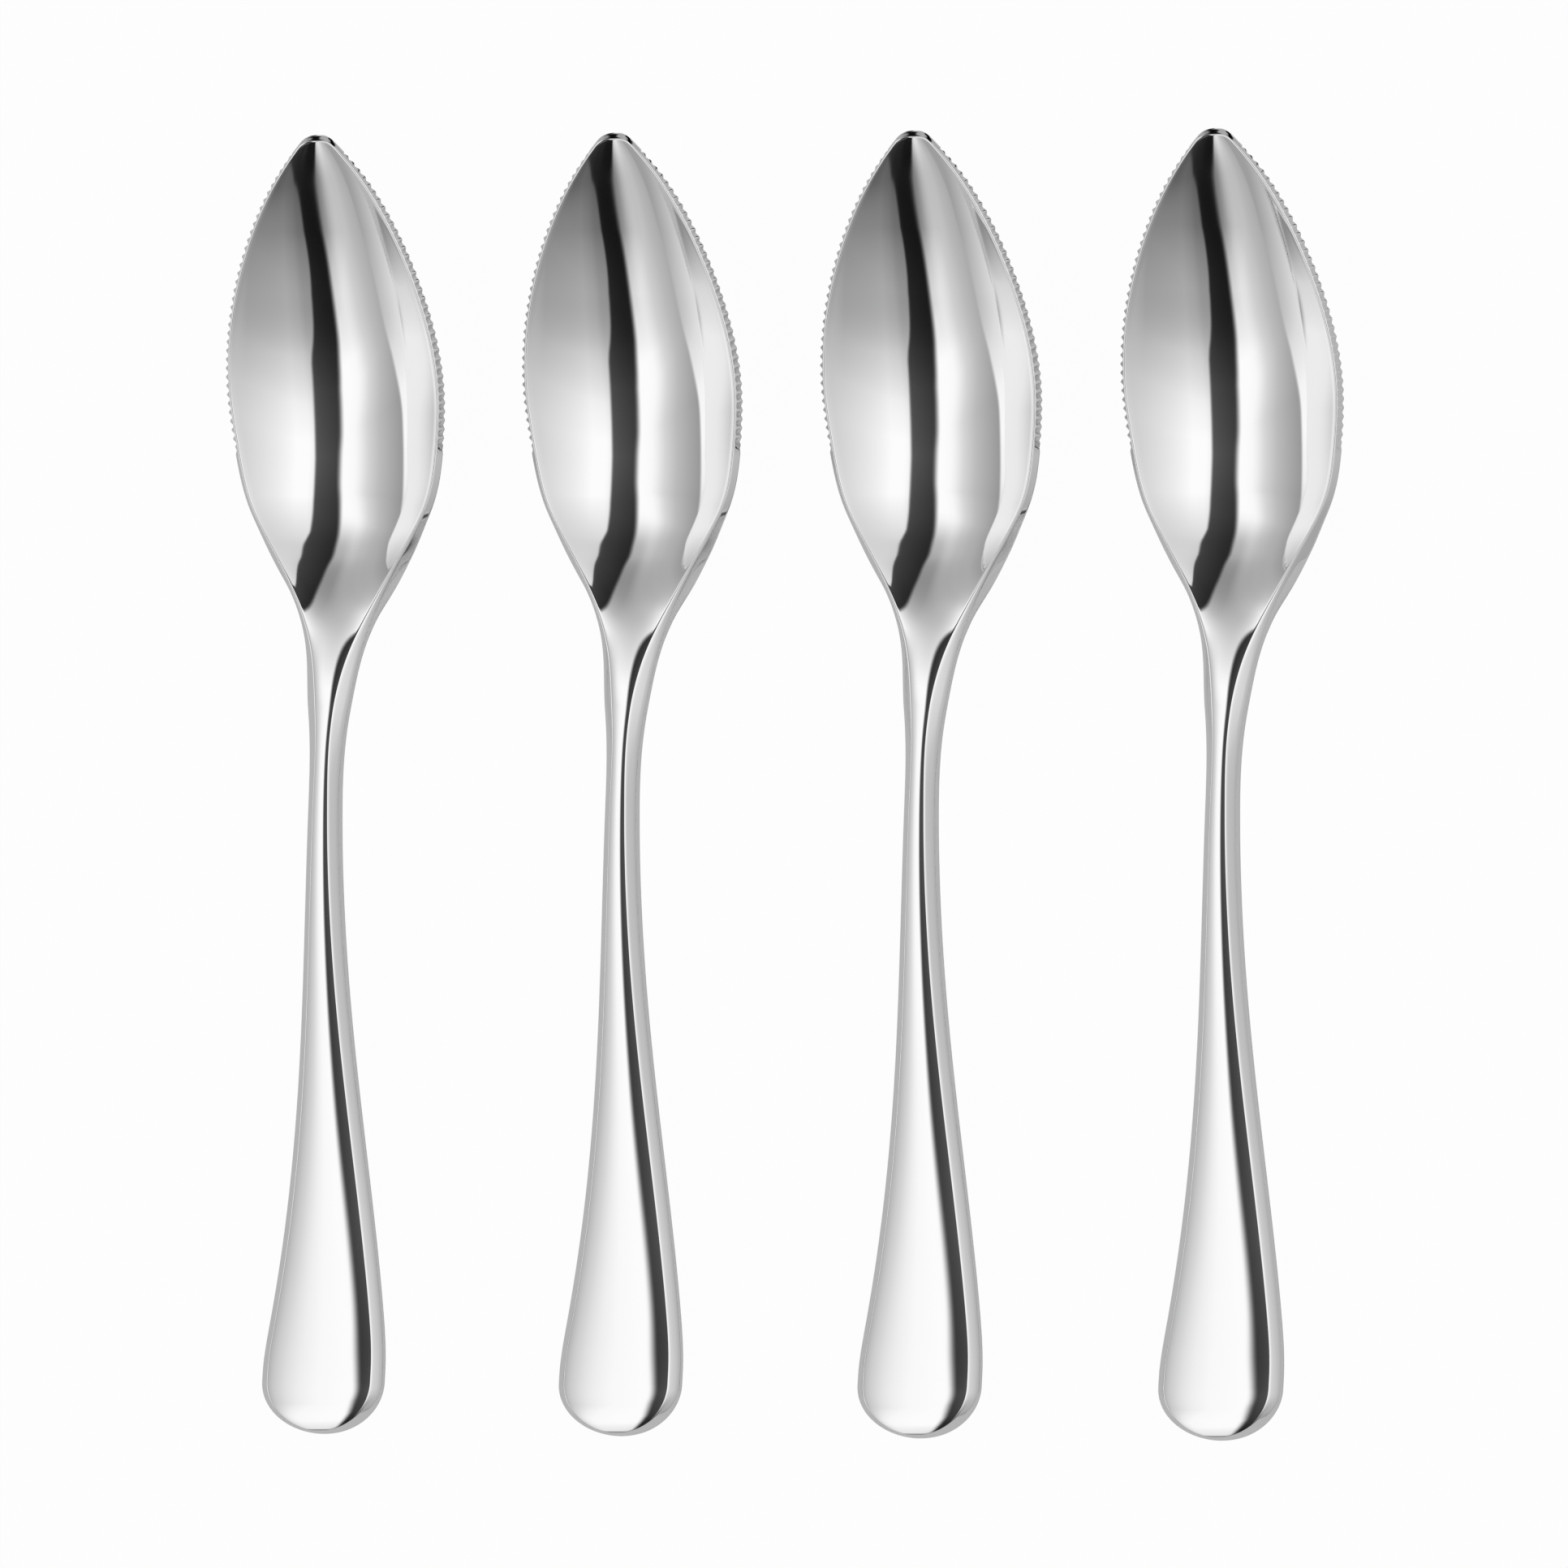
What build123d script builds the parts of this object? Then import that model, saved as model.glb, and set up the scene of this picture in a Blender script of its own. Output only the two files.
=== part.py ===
from build123d import *
import os
from math import atan, cos, radians, sin, sqrt
from numpy import arange, cumsum, interp, linspace
from scipy.interpolate import CubicSpline, PchipInterpolator

# A row of serrated grapefruit spoons, each one forging of polished steel.
# Each spoon lies on its belly and its handle, bowl up, with the tip towards +Y.
# Sizes are in millimetres.

# The row
spoon_count = 4
spoon_spacing = 40.9

# Lengths along one spoon, from the end of the handle to the tip
overall_length = 165.0
bowl_length = 60.0
heel_blend = 20.0
waist_to_heel = 26.0
end_round = 7.7
low_from_end = 22.0
nose_length = 1.1

# Bowl
mouth_width = 28.7
bowl_depth = 6.7
tip_height = 17.85
heel_height = 6.25
rim_wall = 1.2
heel_wall = 3.0
heel_splay = 0.25
tip_lean = 42.0

# Handle
end_width = 16.75
end_thickness = 4.0
edge_round = 4.5
waist_width = 4.56
waist_thickness = 3.5
neck_width = 11.0

# Height of the handle's middle line above the table
end_height = 2.8
low_height = 2.0
waist_height = 7.83
neck_height = 6.05

# Serration
tooth_pitch = 1.15
tooth_depth = 0.5
first_tooth = 2.3
last_tooth = 39.0
inner_land = 0.2

# Shapes of the bowl along its length back from the tip: shares of its half width,
# of its depth, of its rim's rise to the tip, and of the growth of its wall from the rim's to the heel's
leaf_shape = ((0.0, 0.055), (0.08, 0.367), (0.19, 0.642), (0.325, 0.86), (0.54, 0.995),
              (0.66, 0.944), (0.78, 0.803), (0.9, 0.51), (1.0, 0.335), (1.12, 0.18), (1.25, 0.14))
depth_shape = ((0.0, 0.05), (0.09, 0.24), (0.2, 0.52), (0.35, 0.83), (0.55, 1.0),
               (0.74, 0.8), (0.87, 0.48), (1.0, 0.08), (1.12, -0.08), (1.25, -0.1))
sheer_shape = ((-0.1, 1.134), (0.0, 1.0), (0.1, 0.866), (0.2, 0.741), (0.33, 0.571), (0.45, 0.395), (0.58, 0.22),
               (0.67, 0.117), (0.76, 0.045), (0.85, 0.01), (1.0, 0.0), (1.25, 0.0))
wall_shape = ((-0.1, 0.0), (0.62, 0.0), (0.78, 0.35), (0.92, 1.0), (1.4, 1.0))
# Shares of the handle's flare from its widest place to the waist, and from the waist to the heel
flare_shape = ((0.0, 1.0), (0.1, 0.894), (0.22, 0.702), (0.4, 0.44), (0.58, 0.233), (0.76, 0.094), (1.0, 0.0))
neck_shape = ((0.35, 0.04), (0.81, 0.66), (1.23, 1.62))
# The handle's flat oval at its end and its plain one at the waist, as shares of half width and half thickness:
# the crown, the shoulder and the side
end_oval = ((0.505, 1.0), (0.78, 0.807), (1.073, 0.533))
waist_oval = ((0.317, 1.0), (0.707, 0.707), (1.098, 0.317))
# Heights of the drooping end above the low place, by the length from the end
end_curve = ((4.0, 1.12), (12.0, 0.46))
# Rise of the handle's middle line, as shares of the way from its low place to the waist,
# and its fall past the heel, as shares of the blend and of its height at the heel
rise_run, rise_height = 0.63, 0.682
fall_run, fall_height = 0.35, 0.8
# Where the oval starts to turn into the crescent, as a share of the blend that lies before the heel
blend_before_heel = 0.65
# Places of the sections in the rounded end, the flare, the neck and the bowl, as shares of each
end_stations = (0.01, 0.1, 0.3, 0.6, 1.0)
flare_stations = (0.1, 0.24, 0.42, 0.65, 0.87)
neck_stations = (0.0, 0.1, 0.2, 0.3, 0.5, 0.7, 0.9)
bowl_stations = (0.833, 0.733, 0.617, 0.5, 0.383, 0.267, 0.167, 0.083, 0.033, -0.007)
# Points at which the underside and the rim are measured
underside_samples, rim_samples = 80, 400

heel_y = overall_length - bowl_length
waist_y = heel_y - waist_to_heel
nose_y = overall_length - nose_length
blend_y = heel_y - blend_before_heel * heel_blend
half_mouth = mouth_width / 2
half_end = end_width / 2
half_waist = waist_width / 2
half_neck = neck_width / 2

leaf_curve = CubicSpline(*zip(*leaf_shape))
depth_curve = CubicSpline(*zip(*depth_shape))
sheer_curve = PchipInterpolator(*zip(*sheer_shape))
wall_curve = PchipInterpolator(*zip(*wall_shape))
width_keys = [(end_round + run * (waist_y - end_round), half_waist + left * (half_end - half_waist))
              for run, left in flare_shape]
width_keys += [(waist_y + run * waist_to_heel, half_waist + gain * (half_neck - half_waist))
               for run, gain in neck_shape]
width_curve = CubicSpline(*zip(*width_keys), bc_type=((1, 0.0), (2, 0.0)))
height_keys = [(0, end_height)] + [(run, low_height + rise) for run, rise in end_curve]
height_keys += [(low_from_end, low_height),
                (low_from_end + rise_run * (waist_y - low_from_end),
                 low_height + rise_height * (waist_height - low_height)),
                (waist_y, waist_height), (heel_y, neck_height),
                (heel_y + fall_run * heel_blend, fall_height * neck_height)]
height_curve = CubicSpline(*zip(*height_keys))
thickness_curve = PchipInterpolator((0, low_from_end, waist_y, heel_y + heel_blend),
                                    (end_thickness, end_thickness, waist_thickness, heel_wall))


def rounding(y, reach):
    """Share of the full size at y, where an end is rounded off over its last reach."""
    return sqrt(1 - (1 - min(y / reach, 1.0)) ** 2)


def handle_section(y):
    """Right-hand control points of the handle's soft-edged oval, from the top round to the bottom."""
    half_width = float(width_curve(max(y, end_round)))
    flat = (half_width - half_waist) / (half_end - half_waist) if y < waist_y else 0.0
    half_width *= rounding(y, end_round)
    half_thickness = float(thickness_curve(y)) / 2 * rounding(y, edge_round)
    z = float(height_curve(y))
    oval = [((flat * p + (1 - flat) * u) * half_width, (flat * q + (1 - flat) * v) * half_thickness)
            for (p, q), (u, v) in zip(end_oval, waist_oval)]
    return [(x, z + up) for x, up in oval] + [(x, z - up) for x, up in reversed(oval)]


def bowl_section(y):
    """Right-hand control points of the bowl's crescent, with a rim cut square to the wall."""
    back = (overall_length - y) / bowl_length
    w = half_mouth * float(leaf_curve(back))
    depth = bowl_depth * float(depth_curve(back))
    rim = heel_height + (tip_height - heel_height) * float(sheer_curve(back))
    growth = float(wall_curve(back))
    wall = rim_wall + (heel_wall - rim_wall) * growth
    slope = atan(2 * depth / w + heel_splay * growth)
    out, down = wall * sin(slope), wall * cos(slope)
    keel = rim - depth - wall
    return [(w / 3, rim - 4 / 3 * depth), (w, rim), (w + out / 3, rim - down / 3),
            (w + 2 * out / 3, rim - 2 * down / 3), (w + out, rim - down),
            ((w + out) / 3, rim - down - 4 / 3 * (rim - down - keel))]


def blended_section(y):
    """The handle's oval, which turns into the bowl's crescent through the neck."""
    share = min(max((y - blend_y) / heel_blend, 0.0), 1.0)
    share = share * share * (3 - 2 * share)
    if share == 0:
        return handle_section(y)
    if share == 1:
        return bowl_section(y)
    pairs = zip(handle_section(y), bowl_section(y))
    return [((1 - share) * p + share * u, (1 - share) * q + share * v) for (p, q), (u, v) in pairs]


def underside(y):
    """Height of the lowest point of the section at y."""
    points = blended_section(y)
    return (points[4][1] + 3 * points[5][1]) / 4


def table_line():
    """Level and slope of the line that touches the handle and the belly from below."""
    handle_ys = linspace(end_round / 2, waist_y, underside_samples)
    belly_ys = linspace(heel_y, nose_y, underside_samples)
    slope = 0.0
    for _ in range(4):
        handle_low = min(handle_ys, key=lambda y: underside(y) - slope * y)
        belly_low = min(belly_ys, key=lambda y: underside(y) - slope * y)
        slope = (underside(belly_low) - underside(handle_low)) / (belly_low - handle_low)
    return underside(handle_low) - slope * handle_low, slope


table_level, table_slope = table_line()


def section(y):
    """Control points of the section at y, set down on the table."""
    drop = table_level + table_slope * y
    return [(x, z - drop) for x, z in blended_section(y)]


def mirrored(point):
    """The point on the other side of the spoon's middle plane."""
    return -point[0], point[1]


def rim_points(y, side=1):
    """Inner and outer corner of the rim at y, on the right (1) or the left (-1)."""
    points = section(y)
    return Vector(side * points[1][0], y, points[1][1]), Vector(side * points[4][0], y, points[4][1])


def keel_point(y):
    """Lowest point of the section at y."""
    return Vector(0, y, underside(y) - table_level - table_slope * y)


def tooth_places():
    """Places along Y of the gaps between the teeth, evenly spaced along the rim."""
    ys = linspace(overall_length - first_tooth, overall_length - last_tooth, rim_samples)
    corners = [rim_points(y)[1] for y in ys]
    run = cumsum([0.0] + [(b - a).length for a, b in zip(corners, corners[1:])])
    return [float(y) for y in interp(arange(0, run[-1], tooth_pitch), run, ys)]


def tooth_plane(y, side):
    """Plane across one gap: its origin is on the rim's outer corner, and z rises inwards along the cut."""
    inner, outer = rim_points(y, side)
    along = rim_points(y - tooth_depth, side)[1] - outer
    across = (outer - inner).normalized()
    facing = along.cross(across).normalized() * side
    runout = inner + across * inner_land + facing * tooth_depth
    return Plane(origin=outer, x_dir=facing.cross(across), z_dir=runout - outer)


# Sections of the two lofts: the handle up to the neck, and the neck and bowl to just past the tip
handle_ys = [share * end_round for share in end_stations]
handle_ys += [end_round + share * (waist_y - end_round) for share in flare_stations]
handle_ys += [(waist_y + blend_y) / 2, blend_y]
bowl_ys = [blend_y + share * heel_blend for share in neck_stations]
bowl_ys += [overall_length - share * bowl_length for share in bowl_stations]

# Nose of the bowl, an arc between the rim's outer corners that reaches the keel at the tip,
# cut along a lean that turns the tip's edge upwards
nose_corner = rim_points(nose_y)[1]
nose_rise = keel_point(overall_length) - Vector(0, nose_y, nose_corner.Z)
nose_plane = Plane(origin=(0, nose_y, nose_corner.Z), x_dir=(1, 0, 0), z_dir=Vector(1, 0, 0).cross(nose_rise))
nose_way = (0, -sin(radians(tip_lean)), cos(radians(tip_lean)))
nose_half = nose_corner.X
nose_clear = 5 * nose_length

# Square bar whose corner cuts one gap
bar_side = sqrt(2) * tooth_depth
bar_length = 4 * rim_wall

with BuildPart() as spoon:
    for ys in (handle_ys, bowl_ys):
        for y in ys:
            crown, top, side_top, side_low, low, belly = section(y)
            with BuildSketch(Plane(origin=(0, y, 0), x_dir=(1, 0, 0), z_dir=(0, -1, 0))):
                with BuildLine():
                    Bezier(mirrored(top), mirrored(crown), crown, top)
                    Bezier(top, side_top, side_low, low)
                    Bezier(low, belly, mirrored(belly), mirrored(low))
                    Bezier(mirrored(low), mirrored(side_low), mirrored(side_top), mirrored(top))
                make_face()
        loft()
    with BuildSketch(nose_plane):
        with BuildLine():
            ThreePointArc((-nose_half, 0), (0, nose_rise.length), (nose_half, 0))
            Polyline((nose_half, 0), (nose_half + nose_clear, 0), (nose_half + nose_clear, nose_clear),
                     (-nose_half - nose_clear, nose_clear), (-nose_half - nose_clear, 0), (-nose_half, 0))
        make_face()
    extrude(amount=nose_clear, dir=nose_way, both=True, mode=Mode.SUBTRACT)
    with Locations(*[tooth_plane(y, side) for y in tooth_places() for side in (1, -1)]):
        Box(bar_side, bar_side, bar_length, rotation=(0, 0, 45), mode=Mode.SUBTRACT)

# The row of loose spoons, side by side about the middle
os.makedirs("parts", exist_ok=True)
box = spoon.part.bounding_box()
for number in range(spoon_count):
    place_x = (number - (spoon_count - 1) / 2) * spoon_spacing
    with BuildPart() as placed_spoon:
        with Locations((place_x, -box.center().Y, -box.min.Z)):
            add(spoon.part)
    placed_spoon.part.label = f"spoon_{number + 1}"
    export_step(placed_spoon.part, f"parts/spoon_{number + 1}.step")
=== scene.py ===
from math import cos, radians, sin

import bmesh
import bpy
import numpy as np
from mathutils import Matrix, Vector


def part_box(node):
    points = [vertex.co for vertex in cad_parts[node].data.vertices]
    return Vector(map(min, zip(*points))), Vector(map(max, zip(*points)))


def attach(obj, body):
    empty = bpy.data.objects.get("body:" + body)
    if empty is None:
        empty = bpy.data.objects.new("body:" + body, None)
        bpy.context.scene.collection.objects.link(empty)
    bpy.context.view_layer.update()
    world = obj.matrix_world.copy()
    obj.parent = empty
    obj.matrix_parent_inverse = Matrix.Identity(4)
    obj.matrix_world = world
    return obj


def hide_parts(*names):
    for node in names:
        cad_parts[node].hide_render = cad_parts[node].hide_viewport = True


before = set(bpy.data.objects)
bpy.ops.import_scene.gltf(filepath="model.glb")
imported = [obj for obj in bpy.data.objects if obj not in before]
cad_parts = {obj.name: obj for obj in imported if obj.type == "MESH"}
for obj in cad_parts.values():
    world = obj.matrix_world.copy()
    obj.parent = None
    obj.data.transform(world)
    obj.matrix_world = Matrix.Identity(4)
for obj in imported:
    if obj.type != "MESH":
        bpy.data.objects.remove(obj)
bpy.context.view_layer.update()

# A row of polished steel grapefruit spoons with serrated rims, bowls up, tips towards +Y.
# Spoon sizes are in millimetres, as in the part's source. The scene is in metres.

MM = 0.001
BODIES = ("spoon_1", "spoon_2", "spoon_3", "spoon_4")

# Lengths along one spoon, from the end of the handle to the tip
OVERALL_LENGTH = 165.0
BOWL_LENGTH = 60.0
HEEL_BLEND = 20.0
WAIST_TO_HEEL = 26.0
END_ROUND = 6.6
WIDEST = 7.7
LOW_FROM_END = 22.0
NOSE_LENGTH = 1.1

# Bowl. The rim's face splays outwards at the heel and near the tip, where the wall is thinner:
# each reach is the share of the bowl's length over which that fades.
MOUTH_WIDTH = 28.7
BOWL_DEPTH = 6.7
TIP_HEIGHT = 17.85
HEEL_HEIGHT = 6.25
RIM_WALL = 1.2
HEEL_WALL = 2.3
HEEL_SPLAY = 0.25
TIP_SPLAY = 0.45
TIP_SPLAY_REACH = 0.5
TIP_WALL = 0.9
TIP_WALL_REACH = 0.1

# Handle. Its top is a crown between two narrow sides, and its underside the same. Each crown value
# is the share of the top's half width to which its level middle reaches.
END_WIDTH = 16.85
WAIST_WIDTH = 4.66
NECK_WIDTH = 11.0
SIDE_WIDTH = 1.24
NECK_SIDE_WIDTH = 1.9
SIDE_HEIGHT = 1.45
WAIST_SIDE_HEIGHT = 1.7
END_SIDE_WIDTH = 0.3
END_SIDE_POWER = 0.75
CROWN_SLOPE = 0.325
END_CROWN = 0.63
WAIST_CROWN = 0.36
NECK_CROWN = 0.62
END_HEIGHT = 2.3
LOW_HEIGHT = 2.0
WAIST_HEIGHT = 7.83
NECK_HEIGHT = 6.05

# Serration, between two lengths from the tip, and the polished easing of the rim's corners.
# The last values are the largest shares that the easing and the gaps take of the faces round the rim.
TOOTH_PITCH = 1.15
TOOTH_DEPTH = 0.5
FIRST_TOOTH = 2.3
LAST_TOOTH = 39.0
INNER_LAND = 0.3
CORNER_EASE = 0.12
INNER_EASE = 0.3
BELLY_CUT_MOST = 0.2
CORNER_CUT_MOST = 0.19
SIDE_CUT_MOST = 0.25
LAND_CUT_MOST = 0.3
HOLLOW_CUT_MOST = 0.2

# Shapes of the bowl along its length back from the tip: shares of its half width, of its depth,
# of its rim's rise to the tip, and of the growth of its wall from the rim's to the heel's
LEAF_SHAPE = ((0.0, 0.055), (0.08, 0.352), (0.19, 0.632), (0.325, 0.856), (0.54, 0.995),
              (0.66, 0.948), (0.78, 0.831), (0.9, 0.554), (1.0, 0.356), (1.12, 0.18), (1.25, 0.14))
DEPTH_SHAPE = ((0.0, 0.05), (0.09, 0.24), (0.2, 0.52), (0.35, 0.83), (0.55, 1.0),
               (0.74, 0.8), (0.87, 0.48), (1.0, 0.08), (1.12, -0.08), (1.25, -0.1))
SHEER_SHAPE = ((-0.1, 1.134), (0.0, 1.0), (0.1, 0.866), (0.2, 0.741), (0.33, 0.571), (0.45, 0.395),
               (0.58, 0.22), (0.67, 0.117), (0.76, 0.045), (0.85, 0.01), (1.0, 0.0), (1.25, 0.0))
WALL_SHAPE = ((-0.1, 0.0), (0.74, 0.0), (0.8, 0.07), (0.88, 0.62), (0.97, 1.0), (1.4, 1.0))
# Shares of the handle's flare from its widest place to the waist, and from the waist to the heel
FLARE_SHAPE = ((0.0, 1.0), (0.1, 0.894), (0.22, 0.702), (0.4, 0.44), (0.58, 0.233), (0.76, 0.094),
               (1.0, 0.0))
NECK_SHAPE = ((0.35, 0.04), (0.81, 0.66), (1.23, 1.62))
# Heights that the drooping end adds above the low place, by the length from the end
END_CURVE = ((4.0, 0.9), (12.0, 0.38))
# Rise of the handle's middle line to the waist, and its fall past the heel
RISE_RUN, RISE_HEIGHT = 0.63, 0.682
FALL_RUN, FALL_HEIGHT = 0.35, 0.8
# Share of the neck's blend, from oval to crescent, that lies before the heel
BLEND_BEFORE_HEEL = 0.65
# Near the tip the sheet climbs at this angle, and its edge is cut square to it over this last stretch
TIP_CLIMB = radians(50)
TIP_SQUARE = 8.0

# Steps of the mesh: along the spoon, in millimetres, and round each part of its section
HANDLE_STEP = 1.0
NECK_STEP = 0.5
STEPS_PER_TOOTH = 12
END_STEPS = 28
BELLY_STEPS, RIM_STEPS, CORNER_STEPS, HOLLOW_STEPS = 22, 8, 5, 26
WELD_DISTANCE = 0.002 * MM
SLIVER_LENGTH = 0.001 * MM
SHARP_ANGLE = radians(40)
# Steps at which the table's line and the run along the rim are measured
TABLE_STEPS, TABLE_TRIES = 80, 4
RIM_RUN_STEPS = 800

HEEL_Y = OVERALL_LENGTH - BOWL_LENGTH
WAIST_Y = HEEL_Y - WAIST_TO_HEEL
NOSE_Y = OVERALL_LENGTH - NOSE_LENGTH
BLEND_Y = HEEL_Y - BLEND_BEFORE_HEEL * HEEL_BLEND
FIRST_TOOTH_Y = OVERALL_LENGTH - FIRST_TOOTH
LAST_TOOTH_Y = OVERALL_LENGTH - LAST_TOOTH
HALF_MOUTH, HALF_END = MOUTH_WIDTH / 2, END_WIDTH / 2
HALF_WAIST, HALF_NECK = WAIST_WIDTH / 2, NECK_WIDTH / 2

# A section's control points on the right, in order: the pull of its top or hollow, the corner
# at the top, two pulls of the side, the corner below, and the pull of the belly
CROWN, TOP, SIDE_TOP, SIDE_LOW, LOW, BELLY = range(6)
MIRROR = np.array((-1, 1))

# The photograph's frame and viewing angle: rolled to the side, and leaned to the handle
FRAME_WIDTH = 199.2 * MM
LENS, SENSOR = 800.0, 36.0
ROLL, LEAN = radians(22), radians(3.92)
AIM_RIGHT, AIM_UP = -1.4 * MM, 0.75 * MM

# Steel's colour, its polish and the cloud of wear that dulls it
STEEL = (0.86, 0.86, 0.865)
POLISH, WEAR = 0.035, 0.03
WEAR_SCALE, WEAR_DETAIL = 90.0, 3.0

# The plain white table: how far it glows white to the eye, and in what the spoons mirror
WHITE = (1, 1, 1, 1)
FLOOR_SIZE = 40.0
FLOOR_GAP = 0.02 * MM
FLOOR_GREY = 0.8
FLOOR_GLOW, FLOOR_SHEEN = 0.97, 0.15

# The studio as bright as the eye sees it, by angles in degrees. A broad soft light on the left and
# a second one on the right leave a dark gap overhead. ACROSS goes by the angle to the right of
# overhead, and TOWARDS, BACK and AHEAD by the angle towards the tips. An EDGE is the angle across
# where a light ends, by the angle towards the tips, and its SOFT is the reach of its blur each way.
QUARTER_TURN, HALF_TURN = 90, 180
DEGREES = HALF_TURN / np.pi
EDGE_LEAST, EDGE_MOST = -95, 45

# The left light. Over the middle of the bowls its fall across starts further right, by the shift.
# NEAR is how much of the fade towards and away from the tips holds, by the angle across.
LEFT_ACROSS = ((-90, 0.57), (-60, 0.735), (-47, 0.84), (-38, 0.945), (-33, 0.985), (-25, 1.0))
LEFT_SHIFT = ((-26, 0), (-12, 1), (14, 1), (24, 0))
SHIFT_ANGLE = 10
LEFT_TOWARDS = ((-60, 0.41), (-51, 0.42), (-47, 0.5), (-43, 0.77), (-40, 0.9), (-31, 1.0),
                (22, 1.0), (25, 0.97), (37, 0.715), (46, 0.59), (60, 0.45))
LEFT_NEAR = ((-71, 0.1), (-24, 1.0))
LEFT_EDGE = ((-54, 14), (-52, 4), (-50.5, -7), (-49, -15), (-47, -19.5), (-43, -20.5), (-37, -17.5),
             (-32, -15), (-25, -11.6), (-10, -8.8), (-1, -7), (10, -7.5), (19, -10.5), (25, -12),
             (33, -13), (38, -12), (43, -9), (48, -6))
LEFT_SOFT = 3.8

# A bright strip below the left light
LOW_TOWARDS = ((-34, 0.62), (-22, 0.87), (-13, 0.97), (-4, 0.99), (8, 0.95), (17, 0.88), (24, 0.8))
LOW_EDGE = ((-34, -72), (-22, -72), (-10, -76), (6, -75), (17, -79), (24, -88), (28, -95))
LOW_SOFT = 1.5

# The right light, which fades both back to the handles and ahead to the tips
RIGHT_ACROSS = ((14, 0.95), (20, 1.0), (30, 1.0), (63, 0.81), (68, 0.76), (90, 0.67))
RIGHT_BACK = ((-75, 0.4), (-57, 0.36), (-52, 0.41), (-47, 0.56), (-43, 0.65), (-31, 0.83),
              (-19, 0.945), (-7, 1.0))
BACK_NEAR = ((5, 1.12), (30, 1.0), (57, 1.0), (75, 0.2))
RIGHT_AHEAD = ((17, 1.0), (38, 0.86), (60, 0.5))
AHEAD_NEAR = ((30, 1.0), (55, 0.2))
NEAR_MOST = 1.12
RIGHT_EDGE = ((-58, 40), (-52, 15), (-49, 5), (-45, 3), (-43, 5), (-37, 10), (-32, 12.8),
              (-13, 15.4), (0, 15.2), (22, 14), (33, 17.5), (38, 22), (42, 29), (46, 39))
RIGHT_SOFT = 1.6

# The gap, lighter to the right by its tilt for each degree, and the dark far beyond the tips
GAP_TOWARDS = ((-75, 0.3), (-60, 0.15), (-50, 0.11), (-43, 0.16), (-25, 0.25), (0, 0.285),
               (25, 0.24), (42, 0.185))
GAP_TILT = 0.014
FAR_TOWARDS = ((52, 1.0), (57, 0.15))

# Power that turns brightness to the eye into light, and the studio's strength
EYE_TO_LIGHT = 2.2
STUDIO_STRENGTH = 1.13


class Curve:
    """A smooth curve through a few given points, read at any place along it."""

    def __init__(self, points, level_start=False):
        self.place, self.value = np.array(points, float).T
        gap = np.diff(self.place)
        rise = np.diff(self.value) / gap
        rows = np.zeros((len(points), len(points)))
        known = np.zeros(len(points))
        for i in range(1, len(gap)):
            rows[i, i - 1:i + 2] = gap[i], 2 * (gap[i - 1] + gap[i]), gap[i - 1]
            known[i] = 3 * (gap[i] * rise[i - 1] + gap[i - 1] * rise[i])
        rows[0, :2], known[0] = self.end_row(gap[:2], rise[:2])
        rows[-1, :-3:-1], known[-1] = self.end_row(gap[:-3:-1], rise[:-3:-1])
        if level_start:
            rows[0, :2], known[0] = (1, 0), 0
            rows[-1, -2:], known[-1] = (1, 2), 3 * rise[-1]
        self.slope = np.linalg.solve(rows, known)

    @staticmethod
    def end_row(gap, rise):
        """The row for an end whose first two stretches are one cubic."""
        total = gap[0] + gap[1]
        level = ((gap[0] + 2 * total) * gap[1] * rise[0] + gap[0] ** 2 * rise[1]) / total
        return (gap[1], total), level

    def __call__(self, place):
        i = np.clip(np.searchsorted(self.place, place) - 1, 0, len(self.place) - 2)
        gap = self.place[i + 1] - self.place[i]
        t = (place - self.place[i]) / gap
        rest = 1 - t
        return (rest * rest * ((1 + 2 * t) * self.value[i] + t * gap * self.slope[i])
                + t * t * ((1 + 2 * rest) * self.value[i + 1] - rest * gap * self.slope[i + 1]))


class Ramp(Curve):
    """A curve that never swings past its points."""

    def __init__(self, points):
        self.place, self.value = np.array(points, float).T
        gap = np.diff(self.place)
        rise = np.diff(self.value) / gap
        self.slope = np.zeros(len(points))
        for i in range(1, len(gap)):
            if rise[i - 1] * rise[i] > 0:
                before, after = 2 * gap[i] + gap[i - 1], gap[i] + 2 * gap[i - 1]
                self.slope[i] = (before + after) / (before / rise[i - 1] + after / rise[i])


def smooth(share):
    """A soft step from 0 to 1."""
    share = np.clip(share, 0, 1)
    return share * share * (3 - 2 * share)


leaf = Curve(LEAF_SHAPE)
hollow = Curve(DEPTH_SHAPE)
wall_growth = Ramp(WALL_SHAPE)
sheer = Ramp(SHEER_SHAPE)
flare_keys = [(WIDEST + run * (WAIST_Y - WIDEST), HALF_WAIST + left * (HALF_END - HALF_WAIST))
              for run, left in FLARE_SHAPE]
neck_keys = [(WAIST_Y + run * WAIST_TO_HEEL, HALF_WAIST + gain * (HALF_NECK - HALF_WAIST))
             for run, gain in NECK_SHAPE]
half_width = Curve(flare_keys + neck_keys, level_start=True)
end_keys = [(run, LOW_HEIGHT + rise) for run, rise in END_CURVE]
rise_key = (LOW_FROM_END + RISE_RUN * (WAIST_Y - LOW_FROM_END),
            LOW_HEIGHT + RISE_HEIGHT * (WAIST_HEIGHT - LOW_HEIGHT))
fall_key = (HEEL_Y + FALL_RUN * HEEL_BLEND, FALL_HEIGHT * NECK_HEIGHT)
middle_height = Curve([(0, END_HEIGHT), *end_keys, (LOW_FROM_END, LOW_HEIGHT), rise_key,
                       (WAIST_Y, WAIST_HEIGHT), (HEEL_Y, NECK_HEIGHT), fall_key])


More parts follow.
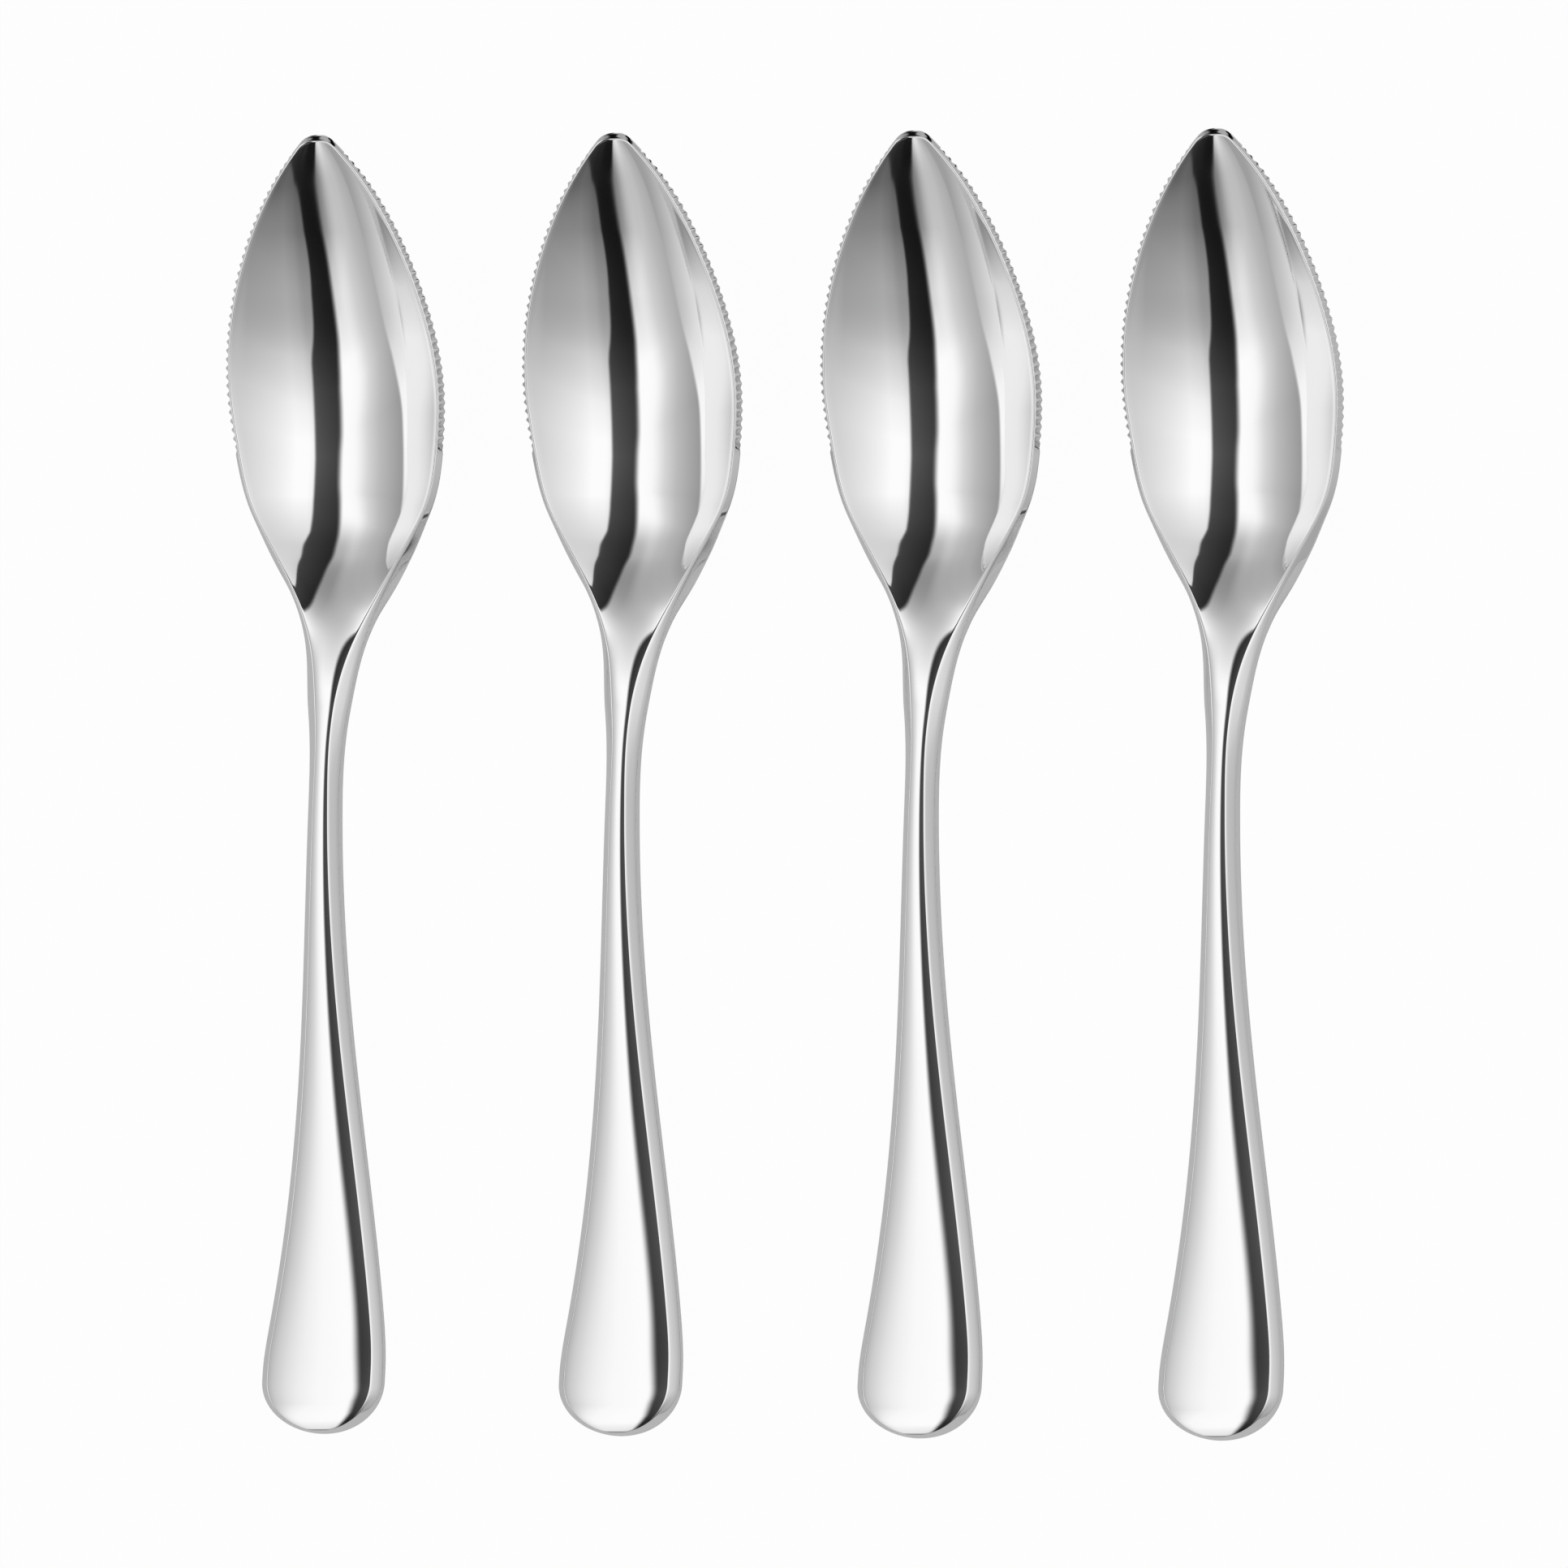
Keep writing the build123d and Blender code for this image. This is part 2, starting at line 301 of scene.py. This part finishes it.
def rounding(y, reach):
    """Share of the full size at y, where an end is rounded off over its last reach."""
    return np.sqrt(1 - (1 - np.clip(y / reach, 0, 1)) ** 2)


def pull(middle, ends):
    """Value of both pulls of a cubic that goes through the middle value from equal ends."""
    return middle + (middle - ends) / 3


def control_points(*points):
    """Control points of sections as one array: section, point, (x, z)."""
    return np.stack([np.stack(np.broadcast_arrays(*point), -1) for point in points], 1)


def handle_section(y):
    """Right-hand control points of the handle's section: a crown, a narrow side, and a crown below."""
    full = half_width(np.maximum(y, WIDEST))
    plan = full * rounding(y, END_ROUND)
    crown_end = rounding(y - END_SIDE_WIDTH, END_ROUND - END_SIDE_WIDTH)
    flare = (full - HALF_WAIST) / (HALF_END - HALF_WAIST)
    neck = smooth((y - WAIST_Y) / WAIST_TO_HEEL)
    crown = (full - SIDE_WIDTH - (NECK_SIDE_WIDTH - SIDE_WIDTH) * neck) * crown_end
    level = np.where(y < WAIST_Y, WAIST_CROWN + (END_CROWN - WAIST_CROWN) * flare,
                     WAIST_CROWN + (NECK_CROWN - WAIST_CROWN) * neck)
    side = SIDE_HEIGHT + (WAIST_SIDE_HEIGHT - SIDE_HEIGHT) * (1 - np.clip(flare, 0, 1)) ** 2
    side = side * np.clip(y / END_SIDE_WIDTH, 0, 1) ** END_SIDE_POWER
    top = side + CROWN_SLOPE * (1 - level) * crown * crown_end
    widest = pull(plan, crown)
    z = middle_height(y)
    return control_points((level * crown, z + top), (crown, z + side), (widest, z),
                          (widest, z), (crown, z - side), (level * crown, z - top))


def bowl_section(y, kept):
    """Right-hand control points of the bowl's crescent, of which the nose leaves the kept share."""
    back = (OVERALL_LENGTH - y) / BOWL_LENGTH
    full_depth = BOWL_DEPTH * hollow(back)
    w = kept * HALF_MOUTH * leaf(back)
    depth = kept ** 2 * full_depth
    rim = HEEL_HEIGHT + (TIP_HEIGHT - HEEL_HEIGHT) * sheer(back) - full_depth + depth
    growth = wall_growth(back)
    thinned = (RIM_WALL - TIP_WALL) * (1 - smooth(back / TIP_WALL_REACH))
    wall = RIM_WALL + (HEEL_WALL - RIM_WALL) * growth - thinned
    splay = HEEL_SPLAY * growth + kept * TIP_SPLAY * (1 - smooth(back / TIP_SPLAY_REACH))
    slope = np.arctan(2 * depth / np.maximum(w, MM) + splay)
    out, down = wall * np.sin(slope), wall * np.cos(slope)
    keel = rim - depth - wall
    low = rim - down
    return control_points((w / 3, pull(rim - depth, rim)), (w, rim), (w + out / 3, rim - down / 3),
                          (w + 2 * out / 3, rim - 2 * down / 3), (w + out, low),
                          ((w + out) / 3, pull(keel, low)))


def kept_by_nose(y):
    """Share of the bowl's width that the rounded nose leaves at y."""
    outer = bowl_section(np.append(np.maximum(y, NOSE_Y), NOSE_Y), 1)[:, LOW, 0]
    radius = (outer[-1] ** 2 + NOSE_LENGTH ** 2) / (2 * NOSE_LENGTH)
    ahead = np.clip(OVERALL_LENGTH - y, 0, NOSE_LENGTH)
    return np.where(y < NOSE_Y, 1, np.sqrt(ahead * (2 * radius - ahead)) / outer[:-1])


def bowl_share(y):
    """Share of the bowl's crescent in the section at y."""
    return smooth((y - BLEND_Y) / HEEL_BLEND)


def blended_section(y, kept):
    """The handle's oval, which turns into the bowl's crescent through the neck."""
    share = bowl_share(y)[:, None, None]
    oval = handle_section(np.minimum(y, BLEND_Y + HEEL_BLEND))
    return (1 - share) * oval + share * bowl_section(np.maximum(y, BLEND_Y), kept)


def underside(y):
    """Height of the lowest point of the section at y."""
    points = blended_section(y, 1)
    return (points[:, LOW, 1] + 3 * points[:, BELLY, 1]) / 4


def table_line():
    """Level and slope of the line that touches the handle and the belly from below."""
    handle_y = np.linspace(END_ROUND / 2, WAIST_Y, TABLE_STEPS)
    belly_y = np.linspace(HEEL_Y, NOSE_Y, TABLE_STEPS)
    handle_z, belly_z = underside(handle_y), underside(belly_y)
    slope = 0.0
    for _ in range(TABLE_TRIES):
        i = np.argmin(handle_z - slope * handle_y)
        j = np.argmin(belly_z - slope * belly_y)
        slope = (belly_z[j] - handle_z[i]) / (belly_y[j] - handle_y[i])
    return handle_z[i] - slope * handle_y[i], slope


TABLE_LEVEL, TABLE_SLOPE = table_line()


def section(y, kept):
    """Control points of the sections at y, set down on the table."""
    points = blended_section(y, kept)
    points[..., 1] -= (TABLE_LEVEL + TABLE_SLOPE * y)[:, None]
    return points


def bezier(a, b, c, d, t):
    """Points of one cubic for each section, at the shares t."""
    a, b, c, d = (point[:, None] for point in (a, b, c, d))
    t = t[..., None]
    rest = 1 - t
    return rest ** 3 * a + 3 * rest ** 2 * t * b + 3 * rest * t ** 2 * c + t ** 3 * d


def eased(start, corner, end):
    """Points of the small round between two faces that would meet at a corner."""
    t = np.linspace(0, 1, CORNER_STEPS + 2)[1:-1, None]
    start, corner, end = start[:, None], corner[:, None], end[:, None]
    return (1 - t) ** 2 * start + 2 * t * (1 - t) * corner + t ** 2 * end


def along(start, end, steps):
    """Shares from start to end, evenly spaced, one row a section."""
    return start[:, None] + (end - start)[:, None] * np.linspace(0, 1, steps)


def length(vectors):
    """Lengths of the vectors, never quite zero."""
    return np.maximum(np.linalg.norm(vectors, axis=-1), MM)


def rim_runs():
    """Places along the toothed rim, from the first gap back, and the run along its outer corner."""
    places = np.linspace(FIRST_TOOTH_Y, LAST_TOOTH_Y, RIM_RUN_STEPS)
    low = section(places, kept_by_nose(places))[:, LOW]
    steps = np.hypot(np.diff(places), np.linalg.norm(np.diff(low, axis=0), axis=-1))
    return places, np.append(0, np.cumsum(steps))


RIM_PLACES, RIM_RUNS = rim_runs()
TOOTHED_RUN = RIM_RUNS[-1]


def run_at(y):
    """Run along the rim's outer corner at y, out of the teeth's reach before and after them."""
    run = np.interp(y, RIM_PLACES[::-1], RIM_RUNS[::-1])
    run = np.where(y > FIRST_TOOTH_Y, y - OVERALL_LENGTH - TOOTH_PITCH, run)
    return np.where(y < LAST_TOOTH_Y, TOOTHED_RUN + LAST_TOOTH_Y - y, run)


def stations():
    """Places of the rings along the spoon, closest where the rim has teeth."""
    quarter = np.linspace(0, np.pi / 2, END_STEPS)
    rounded_end = END_ROUND * (1 - np.cos(quarter))
    handle = np.arange(END_ROUND + HANDLE_STEP, BLEND_Y, HANDLE_STEP)
    neck = np.arange(BLEND_Y, LAST_TOOTH_Y - NECK_STEP / 2, NECK_STEP)
    tooth_runs = np.linspace(TOOTHED_RUN, 0, int(TOOTHED_RUN / TOOTH_PITCH * STEPS_PER_TOOTH))
    toothed = np.interp(tooth_runs, RIM_RUNS, RIM_PLACES)
    tip = FIRST_TOOTH_Y + FIRST_TOOTH * np.sin(quarter[1:])
    return np.concatenate((rounded_end, handle, neck, toothed, tip))


def tooth_gap(run):
    """Depth of the gaps between the teeth, by the run along the rim."""
    across = np.abs(run / TOOTH_PITCH - np.round(run / TOOTH_PITCH)) * TOOTH_PITCH
    inside = (run > -TOOTH_PITCH / 2) & (run < TOOTHED_RUN + TOOTH_PITCH / 2)
    return np.where(inside, np.maximum(TOOTH_DEPTH - across, 0), 0)


def serrated(rim, shares, y, low, belly, wall):
    """The rim's face, which falls from its inner land into the gaps, down the wall."""
    corner_path = np.column_stack((low[:, 0], y, low[:, 1]))
    tangent = -np.gradient(corner_path, axis=0)
    tangent /= length(tangent)[:, None]
    reach = rim - low[:, None]
    offset = reach[..., 0] * tangent[:, None, 0] + reach[..., 1] * tangent[:, None, 2]
    land = (INNER_LAND / wall)[:, None]
    depth = tooth_gap(run_at(y)[:, None] + offset) * np.clip((shares - land) / (1 - land), 0, 1)
    down_wall = (belly - low) / length(belly - low)[:, None]
    return rim + depth[..., None] * down_wall[:, None]


def ring_points():
    """Places of the rings' points, one row a station, from the belly round by the right and back."""
    y = stations()
    kept = kept_by_nose(y)
    set_back = RIM_WALL * sin(TIP_CLIMB) * smooth((y - OVERALL_LENGTH + TIP_SQUARE) / TIP_SQUARE)
    outside, inside = section(y, kept), section(y - set_back, kept)
    crown, top = inside[:, CROWN], inside[:, TOP]
    low, belly = outside[:, LOW], outside[:, BELLY]
    side_top = outside[:, SIDE_TOP] + (top - outside[:, TOP]) * 2 / 3
    side_low = outside[:, SIDE_LOW] + (top - outside[:, TOP]) / 3

    # Shares of each face that the eased corners and the gaps between the teeth take
    wall = length(low - top)
    belly_pull = 3 * length(belly - low)
    gap = tooth_gap(run_at(y))
    belly_cut = np.minimum((gap + CORNER_EASE) / belly_pull, BELLY_CUT_MOST)
    corner_cut = np.minimum(gap / belly_pull, CORNER_CUT_MOST)
    side_cut = np.minimum(CORNER_EASE / wall, SIDE_CUT_MOST)
    inner_ease = CORNER_EASE + (INNER_EASE - CORNER_EASE) * bowl_share(y)
    land_cut = np.minimum(inner_ease / wall, LAND_CUT_MOST)
    hollow_cut = np.minimum(inner_ease / (3 * length(top - crown)), HOLLOW_CUT_MOST)

    # The right half of each ring: belly, corner, rim, corner, and hollow or crown
    half = np.full(len(y), 0.5)
    belly_curve = (low, belly, belly * MIRROR, low * MIRROR)
    under = bezier(*belly_curve, along(half, belly_cut, BELLY_STEPS))
    outer_corner = bezier(*belly_curve, corner_cut[:, None])[:, 0]
    rim_shares = along(1 - side_cut, land_cut, RIM_STEPS)
    rim = bezier(top, side_top, side_low, low, rim_shares)
    rim = serrated(rim, rim_shares, y, low, belly, wall)
    hollow_shares = along(1 - hollow_cut, half, HOLLOW_STEPS)
    over = bezier(top * MIRROR, crown * MIRROR, crown, top, hollow_shares)
    outer_round = eased(under[:, -1], outer_corner, rim[:, 0])
    inner_round = eased(rim[:, -1], top, over[:, 0])
    right = np.concatenate((under, outer_round, rim, inner_round, over), 1)

    # The inner edge lies further from the tip than the outer one, by the set-back
    inwards = np.concatenate((np.zeros(BELLY_STEPS), np.linspace(0, 1, CORNER_STEPS * 2 + RIM_STEPS),
                              np.ones(HOLLOW_STEPS)))
    ring_y = y[:, None] - set_back[:, None] * inwards
    right = np.stack((right[..., 0], ring_y, right[..., 1]), -1)
    left = right[:, -2::-1] * np.array((-1, 1, 1))
    return np.concatenate((right, left), 1)


def spoon_mesh(name, place):
    """One spoon: a sheet of rings closed along the belly and at both ends."""
    rings = ring_points()
    points = (rings.reshape(-1, 3) * MM) + np.array(place)
    sheet = bmesh.new()
    bmesh.ops.create_grid(sheet, x_segments=rings.shape[1] - 1, y_segments=rings.shape[0] - 1, size=1)
    for vertex, point in zip(sheet.verts, points):
        vertex.co = point
    bmesh.ops.remove_doubles(sheet, verts=sheet.verts, dist=WELD_DISTANCE)
    bmesh.ops.dissolve_degenerate(sheet, edges=sheet.edges, dist=SLIVER_LENGTH)
    bmesh.ops.recalc_face_normals(sheet, faces=sheet.faces)
    for face in sheet.faces:
        face.smooth = True
    for edge in sheet.edges:
        edge.smooth = not edge.is_manifold or edge.calc_face_angle() < SHARP_ANGLE
    mesh = bpy.data.meshes.new(name)
    sheet.to_mesh(mesh)
    sheet.free()
    return mesh


class Value:
    """An output socket. Arithmetic on it adds Math nodes to its tree."""

    def __init__(self, tree, socket=None):
        self.tree = tree
        self.socket = socket

    def node(self, kind, inputs, output=0, **settings):
        """Adds a node: its settings first, then the values or links of its sockets."""
        made = self.tree.nodes.new(kind)
        for name, setting in settings.items():
            if name == "stops":
                self.set_stops(made.color_ramp, *setting)
            else:
                setattr(made, name, setting)
        for name, value in inputs.items():
            if isinstance(value, Value):
                self.tree.links.new(value.socket, made.inputs[name])
            else:
                made.inputs[name].default_value = value
        return Value(self.tree, made.outputs[output] if made.outputs else None)

    @staticmethod
    def set_stops(ramp, stops, bend):
        """Grey stops of a colour ramp, from pairs of place and grey, and the bend between them."""
        ramp.interpolation = bend
        while len(ramp.elements) < len(stops):
            ramp.elements.new(1.0)
        for element, (place, grey) in zip(ramp.elements, stops):
            element.position = place
            element.color = (grey, grey, grey, 1)

    def math(self, operation, *others):
        return self.node("ShaderNodeMath", dict(enumerate((self, *others))), operation=operation)

    def __add__(self, other):
        return self.math("ADD", other)

    def __radd__(self, other):
        return self.math("ADD", other)

    def __sub__(self, other):
        return self.math("SUBTRACT", other)

    def __rsub__(self, other):
        return (self * -1) + other

    def __mul__(self, other):
        return self.math("MULTIPLY", other)

    def __rmul__(self, other):
        return self.math("MULTIPLY", other)

    def __truediv__(self, other):
        return self.math("DIVIDE", other)

    def __pow__(self, other):
        return self.math("POWER", other)


def polished_steel():
    """Bright stainless steel, mirror polished with a trace of wear."""
    material = bpy.data.materials.new("polished_steel")
    material.use_nodes = True
    tree = material.node_tree
    shader = tree.nodes["Principled BSDF"]
    start = Value(tree)
    place = start.node("ShaderNodeTexCoord", {}, output="Object")
    cloud_inputs = {"Vector": place, "Scale": WEAR_SCALE, "Detail": WEAR_DETAIL}
    roughness = start.node("ShaderNodeTexNoise", cloud_inputs) * WEAR + POLISH
    tree.links.new(roughness.socket, shader.inputs["Roughness"])
    shader.inputs["Base Color"].default_value = (*STEEL, 1)
    shader.inputs["Metallic"].default_value = 1.0
    return material


def light_studio():
    """A white room, in which polished steel sees two soft lights and the dark gap between them."""
    world = bpy.data.worlds.new("studio")
    bpy.context.scene.world = world
    world.use_nodes = True
    world.cycles.sampling_method = "NONE"
    tree = world.node_tree
    tree.nodes.clear()
    start = Value(tree)
    way = start.node("ShaderNodeTexCoord", {}, output="Generated")
    x = start.node("ShaderNodeSeparateXYZ", {0: way}, output="X")
    y = start.node("ShaderNodeSeparateXYZ", {0: way}, output="Y")
    z = start.node("ShaderNodeSeparateXYZ", {0: way}, output="Z")
    across = x.math("ARCTAN2", z) * DEGREES
    towards = y.math("ARCSINE") * DEGREES

    def by_angle(angle, stops, low=0.0, high=1.0, bend="LINEAR"):
        """A level between low and high by an angle, up to a quarter turn either way."""
        shares = [((place + QUARTER_TURN) / HALF_TURN, (level - low) / (high - low))
                  for place, level in stops]
        turned = (angle + QUARTER_TURN) / HALF_TURN
        level = start.node("ShaderNodeValToRGB", {0: turned}, stops=(shares, bend))
        return level * (high - low) + low

    def past(stops, soft):
        """How far a way is past a light's edge, from 0 to 1 over the soft border along it."""
        edge = by_angle(towards, stops, EDGE_LEAST, EDGE_MOST, "B_SPLINE")
        borders = {0: across, 1: edge - soft, 2: edge + soft}
        return start.node("ShaderNodeMapRange", borders, interpolation_type="SMOOTHSTEP")

    def fading(stops, near):
        """A light's fade by the angle towards the tips, of which near says how much holds."""
        return 1 - (1 - by_angle(towards, stops)) * by_angle(across, near, 0, NEAR_MOST)

    shifted = across - by_angle(towards, LEFT_SHIFT) * SHIFT_ANGLE
    left = by_angle(shifted, LEFT_ACROSS) * fading(LEFT_TOWARDS, LEFT_NEAR)
    past_low = past(LOW_EDGE, LOW_SOFT)
    left = by_angle(towards, LOW_TOWARDS) * (1 - past_low) + left * past_low
    right = by_angle(across, RIGHT_ACROSS) * fading(RIGHT_BACK, BACK_NEAR)
    right = right * fading(RIGHT_AHEAD, AHEAD_NEAR)
    gap = by_angle(towards, GAP_TOWARDS) * (across * GAP_TILT + 1)
    past_left = past(LEFT_EDGE, LEFT_SOFT)
    past_right = past(RIGHT_EDGE, RIGHT_SOFT)
    seen = left * (1 - past_left) + gap * (past_left - past_right) + right * past_right
    light = (seen * by_angle(towards, FAR_TOWARDS)) ** EYE_TO_LIGHT
    studio = start.node("ShaderNodeBackground", {"Color": light, "Strength": STUDIO_STRENGTH})
    white = start.node("ShaderNodeBackground", {"Color": WHITE})
    camera = start.node("ShaderNodeLightPath", {}, output="Is Camera Ray")
    room = start.node("ShaderNodeMixShader", {0: camera, 1: studio, 2: white})
    start.node("ShaderNodeOutputWorld", {"Surface": room})


def white_floor():
    """The plain white table, which keeps a soft trace of the spoons' shadow."""
    sheet = bmesh.new()
    bmesh.ops.create_grid(sheet, x_segments=1, y_segments=1, size=FLOOR_SIZE / 2)
    mesh = bpy.data.meshes.new("floor")
    sheet.to_mesh(mesh)
    sheet.free()
    floor = bpy.data.objects.new("floor", mesh)
    floor.location.z = -FLOOR_GAP
    bpy.context.scene.collection.objects.link(floor)
    material = bpy.data.materials.new("white_table")
    material.use_nodes = True
    tree = material.node_tree
    tree.nodes.clear()
    start = Value(tree)
    camera = start.node("ShaderNodeLightPath", {}, output="Is Camera Ray")
    glossy = start.node("ShaderNodeLightPath", {}, output="Is Glossy Ray")
    through = start.node("ShaderNodeLightPath", {}, output="Is Transmission Ray")
    paper = start.node("ShaderNodeBsdfDiffuse", {"Color": (FLOOR_GREY, FLOOR_GREY, FLOOR_GREY, 1)})
    glow = start.node("ShaderNodeEmission", {"Color": WHITE})
    seen = camera * FLOOR_GLOW + (glossy + through) * FLOOR_SHEEN
    surface = start.node("ShaderNodeMixShader", {0: seen, 1: paper, 2: glow})
    start.node("ShaderNodeOutputMaterial", {"Surface": surface})
    mesh.materials.append(material)


def set_camera():
    """A long lens at the photograph's angle, with the row level in the frame."""
    toward = Vector((sin(ROLL) * cos(LEAN), -sin(LEAN), cos(ROLL) * cos(LEAN)))
    right = (Vector((1, 0, 0)) - toward.x * toward).normalized()
    up = toward.cross(right)
    data = bpy.data.cameras.new("camera")
    data.lens, data.sensor_width = LENS, SENSOR
    camera = bpy.data.objects.new("camera", data)
    bpy.context.scene.collection.objects.link(camera)
    aim = right * AIM_RIGHT + up * AIM_UP
    turn = Matrix((right, up, toward)).transposed().to_4x4()
    camera.matrix_world = Matrix.Translation(aim + toward * FRAME_WIDTH * LENS / SENSOR) @ turn
    bpy.context.scene.camera = camera


steel = polished_steel()
for body in BODIES:
    low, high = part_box(body)
    place = ((low[0] + high[0]) / 2, (low[1] + high[1]) / 2 - OVERALL_LENGTH / 2 * MM, low[2])
    spoon = bpy.data.objects.new(f"{body}_forging", spoon_mesh(f"{body}_forging", place))
    bpy.context.scene.collection.objects.link(spoon)
    spoon.data.materials.append(steel)
    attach(spoon, body)
    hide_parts(body)
white_floor()
light_studio()
set_camera()
bpy.context.scene.view_settings.view_transform = "Standard"
